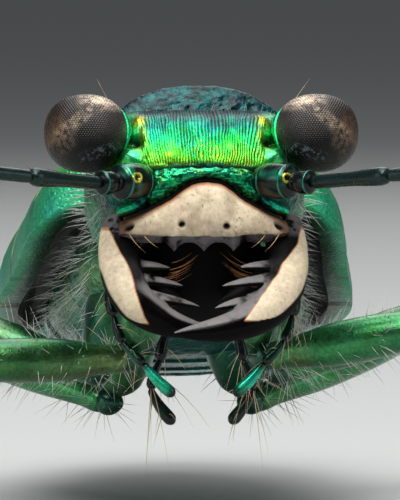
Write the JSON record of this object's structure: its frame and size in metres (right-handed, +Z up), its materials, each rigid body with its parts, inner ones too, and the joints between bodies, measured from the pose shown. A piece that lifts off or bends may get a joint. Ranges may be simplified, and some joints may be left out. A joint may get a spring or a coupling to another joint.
{
  "type": "tiger beetle",
  "caption": "Life-size still tiger beetle standing high on long legs, with big eyes, a pale upper lip, crossed sickle jaws and metallic green cuticle.",
  "frame": {"origin": "middle of the beetle's whole box, legs and antennae included, on the floor it stands on", "axes": "+Z up from the floor, the beetle faces -Y, and +X is its own left side"},
  "size_m": [0.019, 0.0202, 0.0063],
  "materials": {
    "green_cuticle": "bright metallic green with fine ridges and grains",
    "wing_cases": "silky grained green with small cream spots",
    "dark_cuticle": "glossy dark green",
    "copper_green_cuticle": "glossy green with a copper cast and white hairs",
    "cream_horn": "cream horn with fine dark specks and black edges",
    "black_horn": "glossy black-brown horn",
    "compound_eye": "dark grey-brown facets with a soft sheen",
    "brown_feeler": "dull brown with fine down"
  },
  "bodies": {
    "root": {"head": "green_cuticle", "clypeus": "green_cuticle", "labrum": "cream_horn", "labium": "black_horn", "eye_left": "compound_eye", "eye_right": "compound_eye", "mandible_left": "cream_horn", "mandible_right": "cream_horn", "maxilla_left": "black_horn", "maxilla_right": "black_horn", "maxillary_palp_left": "dark_cuticle", "maxillary_palp_right": "dark_cuticle", "labial_palp_left": "dark_cuticle", "labial_palp_right": "dark_cuticle", "antenna_scape_left": "dark_cuticle", "antenna_scape_right": "dark_cuticle", "antenna_shaft_left": "dark_cuticle", "antenna_shaft_right": "dark_cuticle", "antenna_whip_left": "brown_feeler", "antenna_whip_right": "brown_feeler", "prothorax": "green_cuticle", "thorax": "copper_green_cuticle", "abdomen": "copper_green_cuticle", "scutellum": "green_cuticle", "elytron_left": "wing_cases", "elytron_right": "wing_cases", "coxa_front_left": "copper_green_cuticle", "coxa_front_right": "copper_green_cuticle", "coxa_middle_left": "copper_green_cuticle", "coxa_middle_right": "copper_green_cuticle", "coxa_hind_left": "copper_green_cuticle", "coxa_hind_right": "copper_green_cuticle", "femur_front_left": "copper_green_cuticle", "femur_front_right": "copper_green_cuticle", "femur_middle_left": "copper_green_cuticle", "femur_middle_right": "copper_green_cuticle", "femur_hind_left": "copper_green_cuticle", "femur_hind_right": "copper_green_cuticle", "tibia_front_left": "copper_green_cuticle", "tibia_front_right": "copper_green_cuticle", "tibia_middle_left": "copper_green_cuticle", "tibia_middle_right": "copper_green_cuticle", "tibia_hind_left": "copper_green_cuticle", "tibia_hind_right": "copper_green_cuticle", "tarsus_front_left": "copper_green_cuticle", "tarsus_front_right": "copper_green_cuticle", "tarsus_middle_left": "copper_green_cuticle", "tarsus_middle_right": "copper_green_cuticle", "tarsus_hind_left": "copper_green_cuticle", "tarsus_hind_right": "copper_green_cuticle"}
  },
  "joints": []
}
